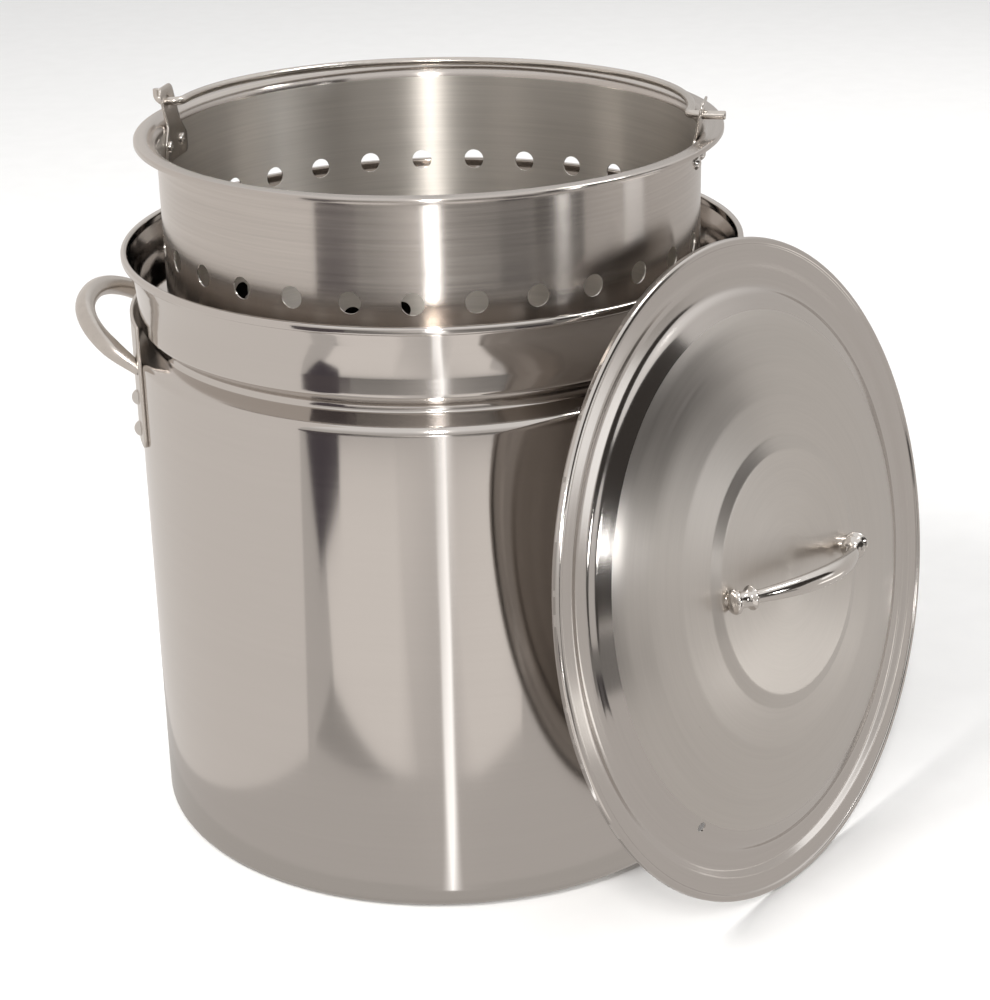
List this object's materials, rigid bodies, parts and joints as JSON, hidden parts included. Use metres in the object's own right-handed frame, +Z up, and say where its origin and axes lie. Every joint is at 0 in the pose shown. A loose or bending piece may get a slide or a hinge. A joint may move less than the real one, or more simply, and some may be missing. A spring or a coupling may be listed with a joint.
{
  "type": "turkey fryer kit",
  "caption": "Stainless stock pot with a steam ridge and riveted loop handles, a lifted perforated basket with a wire bail, and a domed lid leaning on the rim.",
  "frame": {"origin": "centre of the pot's floor, on the ground it stands on", "axes": "+Z up along the pot's axis; -Y is the front, where the lid leans to the right; +X is the side of the straight bail end"},
  "size_m": [0.5144, 0.458, 0.436],
  "materials": {
    "pot_steel": "polished stainless steel",
    "basket_steel": "fine round brushing",
    "lid_steel": "polished edge and shoulder, satin dome",
    "fitting_steel": "tumbled satin",
    "wire_steel": "drawn wire",
    "cast_steel": "polished casting"
  },
  "bodies": {
    "pot": {"pot_shell": "pot_steel", "pot_handle_left_loop": "fitting_steel", "pot_handle_left_plate": "fitting_steel", "pot_handle_left_rivets_a": "fitting_steel", "pot_handle_left_rivets_b": "fitting_steel", "pot_handle_right_loop": "fitting_steel", "pot_handle_right_plate": "fitting_steel", "pot_handle_right_rivets_a": "fitting_steel", "pot_handle_right_rivets_b": "fitting_steel"},
    "basket": {"basket_shell": "basket_steel", "basket_ear_left": "fitting_steel", "basket_ear_right": "fitting_steel", "basket_ear_rivets_left": "fitting_steel", "basket_ear_rivets_right": "fitting_steel"},
    "bail": {"basket_bail": "wire_steel"},
    "lid": {"lid_shell": "lid_steel", "lid_handle_bow": "cast_steel", "lid_handle_screws": "fitting_steel", "lid_handle_washers": "fitting_steel"}
  },
  "joints": [
    {"name": "basket_lift", "type": "slide", "parent": "pot", "child": "basket", "axis": [0, 0, 1], "range_m": [-0.1065, 0.25]},
    {"name": "bail_pivot", "type": "hinge", "parent": "basket", "child": "bail", "pos_m": [0, 0, 0.427], "axis": [0.9728, -0.2317, 0], "range_deg": [0, 184.2]},
    {"name": "lid_pull_away", "type": "slide", "parent": "pot", "child": "lid", "axis": [0.7616, -0.6185, 0.1932], "range_m": [0, 0.35]}
  ]
}
